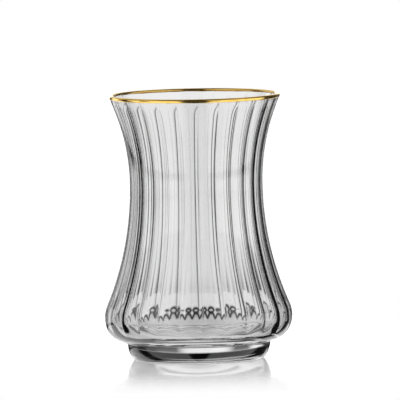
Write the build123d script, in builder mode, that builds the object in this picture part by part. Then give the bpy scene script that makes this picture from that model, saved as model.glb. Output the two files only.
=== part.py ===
"""A waisted tea glass with a gilded lip: one clear blown glass with a heavy base, and its gold line.

Millimetres, +Z up. The origin is the centre of the resting ring's plane, on the axis of the glass.
"""

from build123d import *
import os
from math import asin, atan2, cos, pi, sin, sqrt, tan

os.makedirs("parts", exist_ok=True)

# Overall
total_height = 90.0  # table to the top of the gilded lip
lip_radius = 29.4  # outer wall's slanted line, carried up to the full height
waist_radius = 22.7
bulge_radius = 32.05
foot_radius = 24.45

# Heights along the outside, from the table
foot_height = 5.9  # where the bulge turns into the foot
bulge_height = 14.35
waist_height = 59.5

# Curves along the outside
flare_straight = 5.9  # the straight stretch under the lip
bulge_curve = 10.9  # the shoulder's arc, just above the widest height
foot_fillet = 0.7

# Resting ring and the hollow under the foot
foot_inset = 2.45  # from the foot's side in to the outer edge of the ring that touches the table
ring_width = 3.0
punt_depth = 1.1

# Walls and floor
wall = 1.4  # at the lip and the waist, measured level, on the ridges
bulge_wall = 2.4
floor_height = 8.9  # inner floor above the table

# Optic flutes on the inner wall: shallow hollows that meet in sharp ridges
flute_count = 24
flute_depth = 0.5
flute_turn = 3.0  # degrees from the front to the nearest ridge
flute_lip_gap = 1.0  # plain wall under the lip
flute_floor_gap = 1.0  # plain wall over the floor
flute_fade = 14.0  # stretch over which a flute runs out at its upper end
flute_foot_fade = 4.0  # and at its lower end
section_count = 20

# Gold line fired on the lip
gilding = 0.1  # thickness
gilding_outside = 1.25  # reach below the top, outside
gilding_inside = 0.75  # reach below the top, inside


class WaistedWall:
    """One surface of the side wall, as radius against height: from the top down, a straight slant,
    the waist's upper arc, its lower arc, the shoulder's arc and the arc under the widest height.
    Neighbouring stretches are tangent, and the wall is upright at the waist and the widest height."""

    def __init__(self, lip, waist, bulge, shoulder, under):
        self.waist, self.bulge, self.shoulder, self.under = waist, bulge, shoulder, under
        spread = lip - waist
        reach = total_height - waist_height + flare_straight
        slant = (spread**2 + reach**2) / (2 * reach)
        self.angle = asin(spread / slant)
        self.flare = (slant - flare_straight) / tan(self.angle / 2)
        self.straight_height = waist_height + self.flare * sin(self.angle)
        drop = waist_height - bulge_height
        turn = 2 * atan2(bulge - waist, drop)
        self.lower = drop / sin(turn) - shoulder
        self.shoulder_height = bulge_height + shoulder * sin(turn)

    def radius(self, height):
        if height > self.straight_height:
            arc = self.waist + self.flare * (1 - cos(self.angle))
            return arc + (height - self.straight_height) * tan(self.angle)
        if height > waist_height:
            return self.waist + self.flare - sqrt(self.flare**2 - (height - waist_height) ** 2)
        if height > self.shoulder_height:
            return self.waist + self.lower - sqrt(self.lower**2 - (waist_height - height) ** 2)
        curve = self.shoulder if height > bulge_height else self.under
        return self.bulge - curve + sqrt(curve**2 - (height - bulge_height) ** 2)

    def point(self, height):
        return (self.radius(height), height)

    def arc_points(self, low, high):
        return self.point(low), self.point((low + high) / 2), self.point(high)


# The arc under the widest height runs into the foot's top, or into a level underside where the foot is
# narrow. Inside, it runs into the level floor.
foot_spread = bulge_radius - foot_radius
foot_drop = bulge_height - foot_height
outer_under = foot_drop
if foot_spread < foot_drop:
    outer_under = (foot_spread**2 + foot_drop**2) / (2 * foot_spread)
inner_under = bulge_height - floor_height

outer = WaistedWall(lip_radius, waist_radius, bulge_radius, bulge_curve, outer_under)
inner = WaistedWall(
    lip_radius - wall,
    waist_radius - wall,
    bulge_radius - bulge_wall,
    bulge_curve - (bulge_wall - wall),
    inner_under,
)

# The lip is a full round between the two slanted lines.
lip_round = wall / 2 * cos(outer.angle)
lip_height = total_height - gilding - lip_round
lip_centre = (outer.radius(lip_height) - wall / 2, lip_height)
out_way = (cos(outer.angle), -sin(outer.angle))
up_way = (sin(outer.angle), cos(outer.angle))


def at_lip(out, up):
    """A point near the lip, from the centre of its round: out across the wall and up along it."""
    return (
        lip_centre[0] + out * out_way[0] + up * up_way[0],
        lip_centre[1] + out * out_way[1] + up * up_way[1],
    )


# The foot touches the table on a ring between these radii.
ring_outside = foot_radius - foot_inset
ring_inside = ring_outside - ring_width

# Flutes run between these heights.
flute_top = total_height - flute_lip_gap
flute_foot = floor_height + flute_floor_gap


def smooth(share):
    share = min(max(share, 0.0), 1.0)
    return share * share * (3 - 2 * share)


def flute_depth_at(height):
    from_top = smooth((flute_top - height) / flute_fade)
    from_foot = smooth((height - flute_foot) / flute_foot_fade)
    return flute_depth * from_top * from_foot


def on_plane(radius, degrees, height):
    turn = degrees * pi / 180
    return (radius * cos(turn), radius * sin(turn), height)


def flute_ring(height):
    """A ring of arcs from ridge to ridge. Made outside a builder, which would merge plain ends' arcs."""
    ridge = inner.radius(height)
    hollow = ridge + flute_depth_at(height)
    pitch = 360 / flute_count
    arcs = []
    for flute in range(flute_count):
        start = flute_turn - 90 + flute * pitch
        arcs.append(
            ThreePointArc(
                on_plane(ridge, start, height),
                on_plane(hollow, start + pitch / 2, height),
                on_plane(ridge, start + pitch, height),
            )
        )
    return Face(Wire(arcs))


# The rings of the fluted cavity stand closer together low down, where the wall turns fastest.
flute_rings = []
for step in range(section_count + 1):
    share = (step / section_count) ** 1.6
    flute_rings.append(flute_ring(flute_foot + (flute_top - flute_foot) * share))

# Glass: one revolved body, solid below the flutes' upper end, then hollowed by the bowl and the flutes
with BuildPart() as glass:
    with BuildSketch(Plane.XZ) as body_profile:
        with BuildLine():
            foot_curve = (foot_height**2 + foot_inset**2) / (2 * foot_inset)
            half_up = foot_height / 2
            foot_side = foot_radius - foot_curve + sqrt(foot_curve**2 - half_up**2)
            punt_curve = (ring_inside**2 + punt_depth**2) / (2 * punt_depth)
            punt_half = punt_depth - punt_curve + sqrt(punt_curve**2 - (ring_inside / 2) ** 2)
            ThreePointArc((0, punt_depth), (ring_inside / 2, punt_half), (ring_inside, 0))
            Line((ring_inside, 0), (ring_outside, 0))
            ThreePointArc((ring_outside, 0), (foot_side, half_up), (foot_radius, foot_height))
            if foot_spread > foot_drop:
                Line((foot_radius, foot_height), outer.point(foot_height))
            ThreePointArc(*outer.arc_points(foot_height, bulge_height))
            ThreePointArc(*outer.arc_points(bulge_height, outer.shoulder_height))
            ThreePointArc(*outer.arc_points(outer.shoulder_height, waist_height))
            ThreePointArc(*outer.arc_points(waist_height, outer.straight_height))
            Line(outer.point(outer.straight_height), at_lip(lip_round, 0))
            ThreePointArc(at_lip(lip_round, 0), at_lip(0, lip_round), at_lip(-lip_round, 0))
            Line(at_lip(-lip_round, 0), inner.point(flute_top))
            Line(inner.point(flute_top), (0, flute_top))
            Line((0, flute_top), (0, punt_depth))
        make_face()
        junction = body_profile.vertices().sort_by_distance((foot_radius, foot_height))[0]
        fillet(junction, foot_fillet)
    revolve(axis=Axis.Z)

    # The bowl's floor and the round corner up to where the flutes begin
    with BuildSketch(Plane.XZ):
        with BuildLine():
            floor_edge = inner.bulge - inner_under
            corner = floor_height + flute_floor_gap / 3
            Line((0, floor_height), (floor_edge, floor_height))
            ThreePointArc((floor_edge, floor_height), inner.point(corner), inner.point(flute_foot))
            Line(inner.point(flute_foot), (0, flute_foot))
            Line((0, flute_foot), (0, floor_height))
        make_face()
    revolve(axis=Axis.Z, mode=Mode.SUBTRACT)

    # The fluted cavity
    loft(flute_rings, mode=Mode.SUBTRACT)

# Gold line: a thin skin over the lip, face to face with the glass
with BuildPart() as gilded_rim:
    skin = lip_round + gilding
    side_rise = lip_round * sin(outer.angle)
    down_outside = (lip_height - side_rise - total_height + gilding_outside) / cos(outer.angle)
    down_inside = (lip_height + side_rise - total_height + gilding_inside) / cos(outer.angle)
    with BuildSketch(Plane.XZ):
        with BuildLine():
            Line(at_lip(lip_round, -down_outside), at_lip(skin, -down_outside))
            Line(at_lip(skin, -down_outside), at_lip(skin, 0))
            ThreePointArc(at_lip(skin, 0), at_lip(0, skin), at_lip(-skin, 0))
            Line(at_lip(-skin, 0), at_lip(-skin, -down_inside))
            Line(at_lip(-skin, -down_inside), at_lip(-lip_round, -down_inside))
            Line(at_lip(-lip_round, -down_inside), at_lip(-lip_round, 0))
            ThreePointArc(at_lip(-lip_round, 0), at_lip(0, lip_round), at_lip(lip_round, 0))
            Line(at_lip(lip_round, 0), at_lip(lip_round, -down_outside))
        make_face()
    revolve(axis=Axis.Z)

glass.part.label = "glass"
gilded_rim.part.label = "gilded_rim"
export_step(glass.part, "parts/glass.step")
export_step(gilded_rim.part, "parts/gilded_rim.step")
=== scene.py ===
"""Looks of a clear waisted tea glass with optic flutes and a gold line fired on its lip.

Laid out as an add-on: a property group for each thing that has sizes or colours, an operator for each piece
and one for the stage, and a panel that lists them. Metres, +Z up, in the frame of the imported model.
"""

from math import asin, atan2, cos, pi, radians, sin, tan

import bpy
import numpy as np
from mathutils import Euler, Matrix, Vector


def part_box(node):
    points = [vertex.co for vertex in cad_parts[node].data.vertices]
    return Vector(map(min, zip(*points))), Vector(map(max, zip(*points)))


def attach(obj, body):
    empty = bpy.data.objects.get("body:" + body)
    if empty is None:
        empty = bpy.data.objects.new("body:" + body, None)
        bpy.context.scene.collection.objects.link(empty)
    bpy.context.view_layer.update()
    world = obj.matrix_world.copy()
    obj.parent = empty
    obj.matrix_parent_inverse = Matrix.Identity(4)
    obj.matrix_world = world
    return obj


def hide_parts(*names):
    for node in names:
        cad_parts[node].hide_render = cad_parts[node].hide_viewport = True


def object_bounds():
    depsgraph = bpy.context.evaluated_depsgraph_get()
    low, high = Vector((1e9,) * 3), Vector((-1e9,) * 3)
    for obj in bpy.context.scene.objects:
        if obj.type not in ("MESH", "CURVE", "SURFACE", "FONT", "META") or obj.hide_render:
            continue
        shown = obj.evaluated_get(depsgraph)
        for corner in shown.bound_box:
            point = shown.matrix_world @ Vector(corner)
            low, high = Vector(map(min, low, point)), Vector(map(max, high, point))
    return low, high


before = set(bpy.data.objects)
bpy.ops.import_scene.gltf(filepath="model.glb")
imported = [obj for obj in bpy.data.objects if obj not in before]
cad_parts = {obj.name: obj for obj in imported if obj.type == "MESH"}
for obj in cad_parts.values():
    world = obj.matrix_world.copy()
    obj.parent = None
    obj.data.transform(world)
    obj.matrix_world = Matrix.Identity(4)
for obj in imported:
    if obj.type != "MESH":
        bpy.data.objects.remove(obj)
CAD_LOW, CAD_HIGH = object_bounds()

bl_info = {
    "name": "Waisted Tea Glass",
    "version": (1, 0, 0),
    "blender": (4, 5, 0),
    "location": "View3D > Sidebar > Tea Glass",
    "description": "A clear blown tea glass with optic flutes and a gilded lip",
    "category": "Add Mesh",
}

MM = 0.001
GLASS_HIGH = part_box("glass")[1]
GILDING_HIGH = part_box("gilded_rim")[1]


def size(name, description, millimetres):
    """A length property, given in millimetres."""
    return bpy.props.FloatProperty(
        name=name,
        description=description,
        default=millimetres * MM,
        subtype="DISTANCE",
        unit="LENGTH",
        precision=5,
    )


def angle(name, description, degrees):
    """An angle property, given in degrees."""
    return bpy.props.FloatProperty(
        name=name, description=description, default=radians(degrees), subtype="ANGLE", unit="ROTATION"
    )


def share(name, description, value):
    """A property for a share, or for a level where 1 is white."""
    return bpy.props.FloatProperty(name=name, description=description, default=value, subtype="FACTOR")


def whole(name, description, number):
    """A property for a whole number of things."""
    return bpy.props.IntProperty(name=name, description=description, default=number)


def linear(code):
    """Linear colour of an sRGB hex value."""
    parts = [int(code[i : i + 2], 16) / 255 for i in (0, 2, 4)]
    return [c / 12.92 if c <= 0.04045 else ((c + 0.055) / 1.055) ** 2.4 for c in parts] + [1.0]


def colour(name, description, code):
    """A colour property, given as an sRGB hex value."""
    return bpy.props.FloatVectorProperty(
        name=name, description=description, default=linear(code), subtype="COLOR", size=4, min=0, max=1
    )


class GlassSizes(bpy.types.PropertyGroup):
    total_height: size("Height", "Table to the top of the gilded lip", GILDING_HIGH[2] / MM)
    lip_radius: size("Lip radius", "Outer wall's slanted line, carried up to the full height", 29.4)
    waist_radius: size("Waist radius", "Outside, at the narrowest height", 22.7)
    bulge_radius: size("Bulge radius", "Outside, at the widest height", GLASS_HIGH[0] / MM)
    foot_radius: size("Foot radius", "Outside, at the top of the foot", 24.45)
    foot_height: size("Foot height", "Where the bulge turns into the foot", 5.9)
    bulge_height: size("Bulge height", "The widest height", 14.35)
    waist_height: size("Waist height", "The narrowest height", 59.5)
    flare_straight: size("Straight flare", "The straight stretch under the lip", 5.9)
    bulge_curve: size("Shoulder curve", "The arc just above the widest height", 10.9)
    foot_fillet: size("Foot fillet", "Between the bulge and the foot", 0.7)
    foot_inset: size("Foot inset", "From the foot's side in to the resting ring", 2.45)
    ring_width: size("Resting ring", "Width of the flat ring under the foot", 3.0)
    punt_depth: size("Punt depth", "Hollow under the foot", 1.1)
    wall: size("Wall", "At the lip and the waist, measured level, on the ridges", 1.4)
    bulge_wall: size("Bulge wall", "At the widest height", 2.4)
    floor_height: size("Inner floor", "Above the table", 8.9)
    floor_ripple: size("Floor ripple", "Half height of the rings on the inner floor", 0.1)
    ripple_pitch: size("Ripple pitch", "From ring to ring on the inner floor", 4.5)
    flute_count: whole("Flutes", "Hollows round the inner wall", 24)
    flute_depth: size("Flute depth", "From ridge to hollow", 0.5)
    flute_turn: angle("Flute turn", "From the front to the nearest ridge", 3.0)
    flute_lip_gap: size("Gap at the lip", "Plain wall between the flutes and the lip", 1.0)
    flute_floor_gap: size("Gap at the floor", "Plain wall between the flutes and the floor", 1.0)
    flute_fade: size("Upper run-out", "Stretch over which a flute runs out at its upper end", 2.5)
    flute_foot_fade: size("Lower run-out", "Stretch over which a flute runs out at its lower end", 4.0)
    gilding: size("Gilding", "Thickness of the gold skin", 0.1)
    steps_round: whole("Steps round", "Mesh columns, a multiple of the flutes", 432)
    tint: colour("Tint", "What the glass does to light passing through", "F2F2F2")


class GildingLooks(bpy.types.PropertyGroup):
    outside: size("Outer reach", "From the top down the outside", 1.25)
    inside: size("Inner reach", "From the top down the inside", 0.75)
    waver: size("Waver", "How far the brushed edge wanders", 0.07)
    sink: size("Sink", "How far the skin's back lies inside the glass", 0.02)
    thin: colour("Thin gold", "Where the brush left least", "E0AC40")
    thick: colour("Thick gold", "Where the strokes lap", "F7DA88")


class StageLooks(bpy.types.PropertyGroup):
    distance: size("Camera distance", "From the object's axis", 5500)
    view_width: size("View width", "Width of the view at the object", 135.8)
    elevation: angle("Camera elevation", "Above the horizon", 4.2)
    roll: angle("Camera roll", "Lean of the camera", 1.05)
    aim_height: share("Aim height", "Height of the view's centre, as a share of the object's", 0.598)
    aim_side: size("Aim side", "How far right of the axis the view's centre lies", 1.29)
    floor_radius: size("Floor radius", "Where the floor has faded out", 160)
    floor_colour: colour("Floor", "Colour of the floor", "E6E6E6")
    floor_glow: share("Floor glow", "Level added to the floor as the camera sees it", 0.2)
    table_level: share("Table", "Level of the far table for rays passed on", 0.7)
    haze_share: share("Haze", "Level above the table, as a share of the table's", 0.5)
    dark_level: share("Gaps", "Level of the dark gaps for rays passed on", 0.03)
    mirrored_level: share("Mirrored", "Level of mirrored rays, against those let through", 2.0)


class WaistedWall:
    """Radius of a wall surface against height, as arrays. From the top down: a straight slant, the waist's
    upper arc, its lower arc, the shoulder's arc and the arc under the widest height, each tangent to the
    next, upright at the waist and at the widest height."""

    def __init__(self, s, lip, waist, bulge, shoulder, under):
        self.s, self.waist, self.bulge, self.shoulder, self.under = s, waist, bulge, shoulder, under
        spread = lip - waist
        reach = s.total_height - s.waist_height + s.flare_straight
        slant = (spread**2 + reach**2) / (2 * reach)
        self.angle = asin(spread / slant)
        self.flare = (slant - s.flare_straight) / tan(self.angle / 2)
        self.straight_height = s.waist_height + self.flare * sin(self.angle)
        drop = s.waist_height - s.bulge_height
        turn = 2 * atan2(bulge - waist, drop)
        self.lower = drop / sin(turn) - shoulder
        self.shoulder_height = s.bulge_height + shoulder * sin(turn)

    def radius(self, z):
        s = self.s

        def bow(curve, centre):
            return np.sqrt(np.maximum(curve**2 - (z - centre) ** 2, 0))

        slant = self.waist + self.flare * (1 - cos(self.angle)) + (z - self.straight_height) * tan(self.angle)
        upper = self.waist + self.flare - bow(self.flare, s.waist_height)
        lower = self.waist + self.lower - bow(self.lower, s.waist_height)
        shoulder = self.bulge - self.shoulder + bow(self.shoulder, s.bulge_height)
        under = self.bulge - self.under + bow(self.under, s.bulge_height)
        ends = [self.straight_height, s.waist_height, self.shoulder_height, s.bulge_height]
        return np.select([z > end for end in ends], [slant, upper, lower, shoulder], under)


def walls(s):
    """The outer and the inner wall. The arc under the outer one's widest height runs to the top of the foot: its
    radius is the squares of its spread and drop, added, over twice the spread."""
    spread, drop = s.bulge_radius - s.foot_radius, s.bulge_height - s.foot_height
    outer_under = (spread**2 + drop**2) / (2 * spread)
    thicker = s.bulge_wall - s.wall
    outer = WaistedWall(s, s.lip_radius, s.waist_radius, s.bulge_radius, s.bulge_curve, outer_under)
    inner = WaistedWall(
        s,
        s.lip_radius - s.wall,
        s.waist_radius - s.wall,
        s.bulge_radius - s.bulge_wall,
        s.bulge_curve - thicker,
        s.bulge_height - s.floor_height,
    )
    return outer, inner


def lip_round(s, outer):
    """Centre (radius, height), radius, outward way and upward way of the lip's full round."""
    curve = s.wall / 2 * cos(outer.angle)
    height = s.total_height - s.gilding - curve
    centre = np.array([float(outer.radius(np.array(height))) - s.wall / 2, height])
    out_way = np.array([cos(outer.angle), -sin(outer.angle)])
    up_way = np.array([sin(outer.angle), cos(outer.angle)])
    return centre, curve, out_way, up_way


def smooth(x):
    """Smoothstep of x, held to 0 and 1 outside that range."""
    x = np.clip(x, 0, 1)
    return x * x * (3 - 2 * x)


def arc(centre, curve, start, stop, count):
    """Points (radius, height) on an arc between two angles, in radians from level outward."""
    turn = np.linspace(start, stop, count)
    return np.stack([centre[0] + curve * np.cos(turn), centre[1] + curve * np.sin(turn)], 1)


def up_wall(wall, low, high, count):
    """Points on a wall between two heights, evenly spaced in height."""
    z = np.linspace(low, high, count)
    return np.stack([wall.radius(z), z], 1)


# Points along each stretch of the glass's half section.
STEPS = {
    "punt": 10,
    "foot": 14,
    "fillet": 9,
    "under": 22,
    "shoulder": 10,
    "side": 44,
    "lip": 13,
    "bowl": 26,
    "floor": 40,
}


def glass_profile(s):
    """The glass's half section as (radius, height) points, from the middle of the punt, out and up the
    outside, over the lip and down the inside to the middle of the floor. With it, the flute's depth at each.

    A flute's depth on the inside is its full depth times a smoothstep from the gap at the lip down over the
    upper run-out, and times one from the gap at the floor up over the lower run-out. The floor's rings are
    1 less the cosine of the turns since the middle, one turn to each pitch, and die out towards the bowl."""
    outer, inner = walls(s)
    centre, curve, _, _ = lip_round(s, outer)
    ring_outside = s.foot_radius - s.foot_inset
    ring_inside = ring_outside - s.ring_width
    punt_curve = (ring_inside**2 + s.punt_depth**2) / (2 * s.punt_depth)
    half = asin(ring_inside / punt_curve)
    punt = arc((0, s.punt_depth - punt_curve), punt_curve, pi / 2, pi / 2 - half, STEPS["punt"])
    foot_curve = (s.foot_height**2 + s.foot_inset**2) / (2 * s.foot_inset)
    # The fillet touches the foot's side arc inside it and the bulge's arc outside it.
    bulge_centre = np.array([outer.bulge - outer.under, s.bulge_height])
    foot_centre = np.array([s.foot_radius - foot_curve, s.foot_height])
    fillet, start, stop = fillet_between(foot_centre, foot_curve, bulge_centre, outer.under, s.foot_fillet)
    foot_start = atan2(-s.foot_height, ring_outside - foot_centre[0])
    foot = arc(foot_centre, foot_curve, foot_start, start, STEPS["foot"])
    corner = arc(fillet, s.foot_fillet, start + pi, stop, STEPS["fillet"])
    under = arc(bulge_centre, outer.under, stop - pi, 0, STEPS["under"])
    shoulder = up_wall(outer, s.bulge_height, outer.shoulder_height, STEPS["shoulder"])
    lip_rise = curve * sin(outer.angle)
    side = up_wall(outer, outer.shoulder_height, centre[1] - lip_rise, STEPS["side"])
    lip = arc(centre, curve, -outer.angle, pi - outer.angle, STEPS["lip"])
    inner_side = up_wall(inner, inner.shoulder_height, centre[1] + lip_rise, STEPS["side"])[::-1]
    inner_shoulder = up_wall(inner, s.bulge_height, inner.shoulder_height, STEPS["shoulder"])[::-1]
    bowl_centre = (inner.bulge - inner.under, s.bulge_height)
    bowl = arc(bowl_centre, inner.under, 0, -pi / 2, STEPS["bowl"])
    out = np.linspace(bowl_centre[0], 0, STEPS["floor"])
    ripple = s.floor_ripple * (1 - np.cos(2 * pi * out / s.ripple_pitch)) * smooth(4 * (1 - out / out[0]))
    floor = np.stack([out, s.floor_height + ripple], 1)
    outside = [punt, foot, corner[1:], under[1:], shoulder[1:], side[1:], lip[1:]]
    inside = [inner_side[1:], inner_shoulder[1:], bowl[1:], floor[1:]]
    line = np.concatenate(outside + inside)
    fluted = np.arange(len(line)) >= sum(len(stretch) for stretch in outside)
    top = s.total_height - s.flute_lip_gap
    low = s.floor_height + s.flute_floor_gap
    fade = smooth((top - line[:, 1]) / s.flute_fade) * smooth((line[:, 1] - low) / s.flute_foot_fade)
    return line, np.where(fluted, s.flute_depth * fade, 0.0)


def fillet_between(foot_centre, foot_curve, bulge_centre, bulge_curve, fillet):
    """The fillet outside the foot's arc and the bulge's: its centre is a fillet's radius from both arcs. With
    it, the angles from the foot's centre, and from the fillet's centre to the bulge's."""
    reach_foot, reach_bulge = foot_curve + fillet, bulge_curve + fillet
    apart = bulge_centre - foot_centre
    gap = np.hypot(*apart)
    along = (reach_foot**2 - reach_bulge**2 + gap**2) / (2 * gap)
    off = np.sqrt(reach_foot**2 - along**2)
    unit = apart / gap
    centre = foot_centre + unit * along + np.array([unit[1], -unit[0]]) * off
    from_foot = centre - foot_centre
    to_bulge = bulge_centre - centre
    return centre, atan2(from_foot[1], from_foot[0]), atan2(to_bulge[1], to_bulge[0])


def turned_mesh(name, points):
    """A closed mesh from a grid of points, rows along the profile and columns round the axis. The first and
    last rows lie on the axis and become one point each."""
    rows, columns = points.shape[:2]
    body = points[1:-1].reshape(-1, 3)
    vertices = np.concatenate([points[:1, 0], body, points[-1:, 0]])
    row = np.arange(rows - 3)[:, None] * columns
    here = np.arange(columns)[None]
    there = (here + 1) % columns
    quads = np.stack([row + here, row + there, row + columns + there, row + columns + here], -1) + 1
    last = 1 + (rows - 3) * columns
    end = len(vertices) - 1
    here, there = here[0], there[0]
    first_fan = np.stack([here * 0, there + 1, here + 1], 1)
    last_fan = np.stack([here * 0 + end, last + here, last + there], 1)
    faces = quads.reshape(-1, 4).tolist() + first_fan.tolist() + last_fan.tolist()
    return add_object(name, vertices, faces)


def ring_mesh(name, points):
    """A closed tube round the axis from a grid of points, both ways joined end to end."""
    rows, columns = points.shape[:2]
    row = np.arange(rows)[:, None]
    next_row = (row + 1) % rows
    here = np.arange(columns)[None]
    there = (here + 1) % columns
    start, after = row * columns, next_row * columns
    quads = np.stack([start + here, start + there, after + there, after + here], -1)
    return add_object(name, points.reshape(-1, 3), quads.reshape(-1, 4).tolist())


def add_object(name, vertices, faces):
    """A smooth-shaded object at the origin."""
    mesh = bpy.data.meshes.new(name)
    mesh.from_pydata(vertices.tolist(), [], faces)
    mesh.shade_smooth()
    mesh.update()
    piece = bpy.data.objects.new(name, mesh)
    bpy.context.scene.collection.objects.link(piece)
    return piece


def node(tree, kind, settings=None, **inputs):
    """Adds a node, sets its settings, and sets or links its inputs, each by name or, as i0, i1, by number."""
    made = tree.nodes.new(kind)
    for key, value in (settings or {}).items():
        setattr(made, key, value)
    for key, value in inputs.items():
        numbered = key[0] == "i" and key[1:].isdigit()
        socket = made.inputs[int(key[1:]) if numbered else key.replace("_", " ")]
        if isinstance(value, bpy.types.NodeSocket):
            tree.links.new(value, socket)
        else:
            socket.default_value = value
    return made


def material(name):
    """A new material with an empty node tree."""
    made = bpy.data.materials.new(name)
    made.use_nodes = True
    made.node_tree.nodes.clear()
    return made


# A blown wall swells about 11 mm from crest to crest, so 90 to the metre; brush strokes lap every 2.2 mm.
SWELLS_PER_METRE = 90.0
LAPS_PER_METRE = 450.0
GOLD_ROUGHNESS = (0.04, 0.14)


def clear_glass(tint):
    """Soda-lime glass, blown and fire polished: clear and hard, with the faint swell of a blown wall."""
    made = material("soda_lime_glass_fire_polished")
    tree = made.node_tree
    place = node(tree, "ShaderNodeTexCoord")
    swell = node(
        tree, "ShaderNodeTexNoise", Vector=place.outputs["Object"], Scale=SWELLS_PER_METRE, Detail=1.0
    )
    bump = node(tree, "ShaderNodeBump", Strength=0.15, Distance=0.05 * MM, Height=swell.outputs["Fac"])
    shader = node(
        tree,
        "ShaderNodeBsdfPrincipled",
        Base_Color=tint,
        Roughness=0.0,
        IOR=1.52,
        Transmission_Weight=1.0,
        Normal=bump.outputs["Normal"],
    )
    node(tree, "ShaderNodeOutputMaterial", Surface=shader.outputs[0])
    return made


def fired_gold(thin, thick):
    """Bright gold, brushed on and fired: a mirror-like film, a little uneven where the brush lapped."""
    made = material("gold_film_fired")
    tree = made.node_tree
    place = node(tree, "ShaderNodeTexCoord")
    laps = node(tree, "ShaderNodeTexNoise", Vector=place.outputs["Object"], Scale=LAPS_PER_METRE, Detail=3.0)
    low, high = GOLD_ROUGHNESS
    rough = node(tree, "ShaderNodeMapRange", Value=laps.outputs["Fac"], To_Min=low, To_Max=high)
    tone = node(tree, "ShaderNodeMix", {"data_type": "RGBA"}, i0=laps.outputs["Fac"], i6=thin, i7=thick)
    shader = node(
        tree,
        "ShaderNodeBsdfPrincipled",
        Base_Color=tone.outputs[2],
        Metallic=1.0,
        Roughness=rough.outputs["Result"],
    )
    node(tree, "ShaderNodeOutputMaterial", Surface=shader.outputs[0])
    return made


class TEAGLASS_OT_glass(bpy.types.Operator):
    """Blow the glass: one closed surface, plain outside, with optic flutes on its inner wall"""

    bl_idname = "teaglass.glass"
    bl_label = "Glass"

    def execute(self, context):
        s = context.scene.glass_sizes
        line, depth = glass_profile(s)
        columns = s.steps_round
        round_axis = np.arange(columns) / columns
        # Across a flute, from -1 at one ridge to 1 at the next, the hollow is a parabola: its depth is the
        # full depth times 1 less the place squared, which is as good as an arc when it is so shallow.
        place = (round_axis * s.flute_count) % 1 * 2 - 1
        radius = line[:, 0, None] + depth[:, None] * (1 - place**2)
        turn = round_axis * 2 * pi + s.flute_turn - pi / 2
        points = np.stack(
            [radius * np.cos(turn), radius * np.sin(turn), np.repeat(line[:, 1, None], columns, 1)], -1
        )
        piece = turned_mesh("blown_glass", points)
        piece.data.materials.append(clear_glass(s.tint))
        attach(piece, "root")
        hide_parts("glass")
        return {"FINISHED"}


class TEAGLASS_OT_gilding(bpy.types.Operator):
    """Brush the gold line over the lip, with an edge that wanders a little"""

    bl_idname = "teaglass.gilding"
    bl_label = "Gilding"

    def execute(self, context):
        s = context.scene.glass_sizes
        g = context.scene.gilding_looks
        outer, _ = walls(s)
        centre, curve, out_way, up_way = lip_round(s, outer)
        columns = s.steps_round
        turn = np.arange(columns) / columns * 2 * pi
        # The edge wanders by three waves added together, of 7, 17 and 41 to the turn.
        waver = g.waver * (0.5 * np.sin(7 * turn + 1) + 0.3 * np.sin(17 * turn) + 0.2 * np.sin(41 * turn + 2))
        rise = curve * sin(outer.angle)
        down_out = (centre[1] - rise - s.total_height + g.outside) / cos(outer.angle) + waver
        down_in = (centre[1] + rise - s.total_height + g.inside) / cos(outer.angle) + waver[::-1]
        # Along the section, up the outside, over the lip's round and down the inside: how far out and up from
        # the round's centre for a skin of radius 1, then the shares of the outer and the inner reach down.
        over = np.linspace(0, pi, STEPS["lip"])
        out = np.concatenate([[1, 1], np.cos(over), [-1, -1]])
        up = np.concatenate([[0, 0], np.sin(over), [0, 0]])
        outer_share = np.concatenate([[1, 0.5], over * 0, [0, 0]])
        inner_share = np.concatenate([[0, 0], over * 0, [0.5, 1]])
        down = outer_share[:, None] * down_out + inner_share[:, None] * down_in
        # The skin's face goes one way along it, and its back the other.
        faces = []
        for skin, way in ((curve + s.gilding, 1), (curve - g.sink, -1)):
            place = centre + skin * (out[:, None] * out_way + up[:, None] * up_way)
            faces.append((place[:, None] - down[..., None] * up_way)[::way])
        section = np.concatenate(faces)
        angles = turn - pi / 2
        points = np.stack(
            [section[..., 0] * np.cos(angles), section[..., 0] * np.sin(angles), section[..., 1]], -1
        )
        piece = ring_mesh("gold_line", points)
        piece.data.materials.append(fired_gold(g.thin, g.thick))
        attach(piece, "root")
        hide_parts("gilded_rim")
        return {"FINISHED"}


class TEAGLASS_OT_stage(bpy.types.Operator):
    """Set the floor, the studio light and the camera"""

    bl_idname = "teaglass.stage"
    bl_label = "Stage"

    def execute(self, context):
        looks = context.scene.stage_looks
        context.scene.view_settings.view_transform = "Standard"
        make_floor(looks)
        make_studio(context.scene, looks)
        make_camera(context.scene, looks)
        return {"FINISHED"}


FLOOR_CORNERS = 96
# The floor fades out between these shares of its radius.
FLOOR_FADE = (0.3, 0.95)


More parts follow.
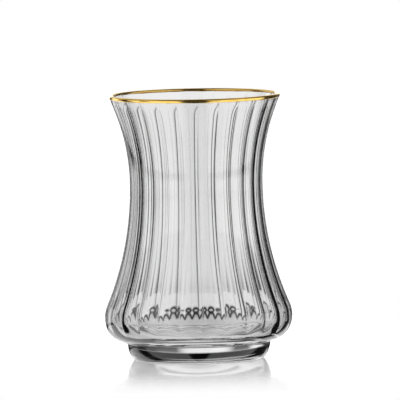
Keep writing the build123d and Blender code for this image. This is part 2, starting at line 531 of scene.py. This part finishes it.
def make_floor(looks):
    """A round pale floor that fades out into the pale background. Rays that metal or glass passes on go
    through it to the studio, and it keeps the object's shadow."""
    turn = np.arange(FLOOR_CORNERS) / FLOOR_CORNERS * 2 * pi
    rim = np.stack([looks.floor_radius * np.cos(turn), looks.floor_radius * np.sin(turn), turn * 0], 1)
    floor = add_object("floor", rim, [list(range(FLOOR_CORNERS))])
    made = material("floor_pale_acrylic")
    tree = made.node_tree
    place = node(tree, "ShaderNodeTexCoord")
    far = node(tree, "ShaderNodeVectorMath", {"operation": "LENGTH"}, i0=place.outputs["Object"])
    fade = node(
        tree,
        "ShaderNodeMapRange",
        {"interpolation_type": "SMOOTHSTEP"},
        Value=far.outputs["Value"],
        From_Min=looks.floor_radius * FLOOR_FADE[0],
        From_Max=looks.floor_radius * FLOOR_FADE[1],
    )
    path = node(tree, "ShaderNodeLightPath")
    passed = passed_rays(tree, path)
    open_floor = node(tree, "ShaderNodeMath", {"operation": "MAXIMUM"}, i0=fade.outputs["Result"], i1=passed)
    paint = node(tree, "ShaderNodeBsdfPrincipled", Base_Color=looks.floor_colour, Roughness=0.12, IOR=1.49)
    grey = (looks.floor_glow, looks.floor_glow, looks.floor_glow, 1)
    glow = node(tree, "ShaderNodeEmission", Color=grey, Strength=path.outputs["Is Camera Ray"])
    lit = node(tree, "ShaderNodeAddShader", i0=paint.outputs[0], i1=glow.outputs[0])
    clear = node(tree, "ShaderNodeBsdfTransparent")
    mix = node(tree, "ShaderNodeMixShader", i0=open_floor.outputs[0], i1=lit.outputs[0], i2=clear.outputs[0])
    node(tree, "ShaderNodeOutputMaterial", Surface=mix.outputs[0])
    floor.data.materials.append(made)


def passed_rays(tree, path):
    """1 for the rays that metal or glass passes on."""
    bounced, through = path.outputs["Is Glossy Ray"], path.outputs["Is Transmission Ray"]
    return node(tree, "ShaderNodeMath", {"operation": "MAXIMUM"}, i0=bounced, i1=through).outputs[0]


# Each span is a heading in degrees from +Y towards -X, and its reach to the left and right of that.
BRIGHT_FIELDS = (
    ("behind the front view", 0, 18, 9),
    ("behind the corner view", 45, 8, 8),
    ("behind the side view", 90, 9, 9),
    ("behind the back view", 225, 10, 10),
    ("right side", 262, 24, 24),
    ("left front", 137, 20, 20),
)
DARK_GAPS = (
    ("front of the table", 180, 20, 18),
    ("table's right end", 312, 20, 20),
    ("table's left end", 72, 10, 10),
)
SPAN_SOFTNESS = 6

# Each band is its lowest and highest elevation in degrees, and half the width of its soft edges. The last one
# reaches past straight down.
FIELD_BAND = (-8.5, 12, 2)
HAZE_BAND = (6, 60, 5)
TABLE_BAND = (-100, -12, 1.2)


def within(tree, level, spans):
    """1 inside any of the spans of heading, 0 outside them. Across each edge it is a smoothstep of the cosine
    of the turn from the span's middle."""
    total = None
    for _, heading, left, right in spans:
        middle = radians(heading + (left - right) / 2)
        half = radians((left + right) / 2)
        toward = (-sin(middle), cos(middle), 0)
        near = node(tree, "ShaderNodeVectorMath", {"operation": "DOT_PRODUCT"}, i0=level, i1=toward)
        inside = node(
            tree,
            "ShaderNodeMapRange",
            {"interpolation_type": "SMOOTHSTEP"},
            Value=near.outputs["Value"],
            From_Min=cos(half + radians(SPAN_SOFTNESS)),
            From_Max=cos(half - radians(SPAN_SOFTNESS)),
        ).outputs["Result"]
        if total is not None:
            inside = node(tree, "ShaderNodeMath", {"operation": "MAXIMUM"}, i0=total, i1=inside).outputs[0]
        total = inside
    return total


def between(tree, height, band, level):
    """A level held in a band of elevation and 0 outside it. Height is the sine of the elevation."""
    low, high, soft = band
    rise = node(
        tree,
        "ShaderNodeMapRange",
        {"interpolation_type": "SMOOTHSTEP"},
        Value=height,
        From_Min=sin(radians(max(low - soft, -90))),
        From_Max=sin(radians(max(low + soft, -89))),
    )
    fall = node(
        tree,
        "ShaderNodeMapRange",
        {"interpolation_type": "SMOOTHSTEP"},
        Value=height,
        From_Min=sin(radians(high + soft)),
        From_Max=sin(radians(high - soft)),
    )
    risen, fallen = rise.outputs["Result"], fall.outputs["Result"]
    held = node(tree, "ShaderNodeMath", {"operation": "MULTIPLY"}, i0=risen, i1=fallen)
    return node(tree, "ShaderNodeMath", {"operation": "MULTIPLY"}, i0=held.outputs[0], i1=level).outputs[0]


def make_studio(scene, looks):
    """Plain white light on everything, and bright fields with dark gaps for what metal and glass pass on."""
    world = bpy.data.worlds.new("studio")
    world.use_nodes = True
    tree = world.node_tree
    tree.nodes.clear()
    scene.world = world
    way = node(tree, "ShaderNodeTexCoord").outputs["Generated"]
    flat = node(tree, "ShaderNodeVectorMath", {"operation": "MULTIPLY"}, i0=way, i1=(1, 1, 0))
    level = node(tree, "ShaderNodeVectorMath", {"operation": "NORMALIZE"}, i0=flat.outputs[0])
    height = node(tree, "ShaderNodeSeparateXYZ", i0=way).outputs["Z"]
    # The fields end in a dark gap, under which the far table is pale, and a haze lies over the table.
    bright = within(tree, level.outputs[0], BRIGHT_FIELDS)
    dark = within(tree, level.outputs[0], DARK_GAPS)
    table = node(
        tree,
        "ShaderNodeMath",
        {"operation": "MULTIPLY_ADD"},
        i0=dark,
        i1=-looks.table_level,
        i2=looks.table_level,
    ).outputs[0]
    haze = node(tree, "ShaderNodeMath", {"operation": "MULTIPLY"}, i0=table, i1=looks.haze_share).outputs[0]
    studio = looks.dark_level
    for band, level_there in ((FIELD_BAND, bright), (HAZE_BAND, haze), (TABLE_BAND, table)):
        lit = between(tree, height, band, level_there)
        studio = node(tree, "ShaderNodeMath", {"operation": "MAXIMUM"}, i0=studio, i1=lit).outputs[0]
    path = node(tree, "ShaderNodeLightPath")
    passed = passed_rays(tree, path)
    # What metal and glass mirror is keener than what glass lets through.
    mirrored = node(
        tree,
        "ShaderNodeMath",
        {"operation": "MULTIPLY_ADD"},
        i0=path.outputs["Is Transmission Ray"],
        i1=1 - looks.mirrored_level,
        i2=looks.mirrored_level,
    )
    keen = node(tree, "ShaderNodeMath", {"operation": "MULTIPLY"}, i0=studio, i1=mirrored.outputs[0])
    strength = node(tree, "ShaderNodeMix", {"data_type": "FLOAT"}, i0=passed, i2=1.0, i3=keen.outputs[0])
    background = node(tree, "ShaderNodeBackground", Color=(1, 1, 1, 1), Strength=strength.outputs[0])
    node(tree, "ShaderNodeOutputWorld", Surface=background.outputs[0])


def make_camera(scene, looks):
    """A long lens at the height of a low table, square to the front."""
    data = bpy.data.cameras.new("camera")
    data.sensor_width = 36.0
    data.lens = data.sensor_width * looks.distance / looks.view_width
    data.clip_start = 0.1
    data.clip_end = 60.0
    camera = bpy.data.objects.new("camera", data)
    scene.collection.objects.link(camera)
    aim = Vector((looks.aim_side, 0, looks.aim_height * CAD_HIGH[2]))
    back = Vector((0, -cos(looks.elevation), sin(looks.elevation)))
    turn = Euler((pi / 2 - looks.elevation, 0, 0)).to_matrix() @ Matrix.Rotation(-looks.roll, 3, "Z")
    camera.matrix_world = Matrix.Translation(aim + back * looks.distance) @ turn.to_4x4()
    scene.camera = camera


class TEAGLASS_PT_panel(bpy.types.Panel):
    """Lists the operators and everything that can be set"""

    bl_idname = "TEAGLASS_PT_panel"
    bl_label = "Tea Glass"
    bl_space_type = "VIEW_3D"
    bl_region_type = "UI"
    bl_category = "Tea Glass"

    def draw(self, context):
        for operator in OPERATORS:
            self.layout.operator(operator.bl_idname)
        for group in ("glass_sizes", "gilding_looks", "stage_looks"):
            box = self.layout.box()
            properties = getattr(context.scene, group)
            for key in properties.__annotations__:
                box.prop(properties, key)


OPERATORS = (TEAGLASS_OT_glass, TEAGLASS_OT_gilding, TEAGLASS_OT_stage)
CLASSES = (GlassSizes, GildingLooks, StageLooks, *OPERATORS, TEAGLASS_PT_panel)


def register():
    """Registers the classes and hangs the settings on the scene."""
    for kind in CLASSES:
        bpy.utils.register_class(kind)
    bpy.types.Scene.glass_sizes = bpy.props.PointerProperty(type=GlassSizes)
    bpy.types.Scene.gilding_looks = bpy.props.PointerProperty(type=GildingLooks)
    bpy.types.Scene.stage_looks = bpy.props.PointerProperty(type=StageLooks)


def unregister():
    """Undoes register."""
    del bpy.types.Scene.stage_looks
    del bpy.types.Scene.gilding_looks
    del bpy.types.Scene.glass_sizes
    for kind in reversed(CLASSES):
        bpy.utils.unregister_class(kind)


def main():
    """Makes every piece and the stage."""
    register()
    bpy.ops.teaglass.glass()
    bpy.ops.teaglass.gilding()
    bpy.ops.teaglass.stage()


if __name__ == "__main__":
    main()
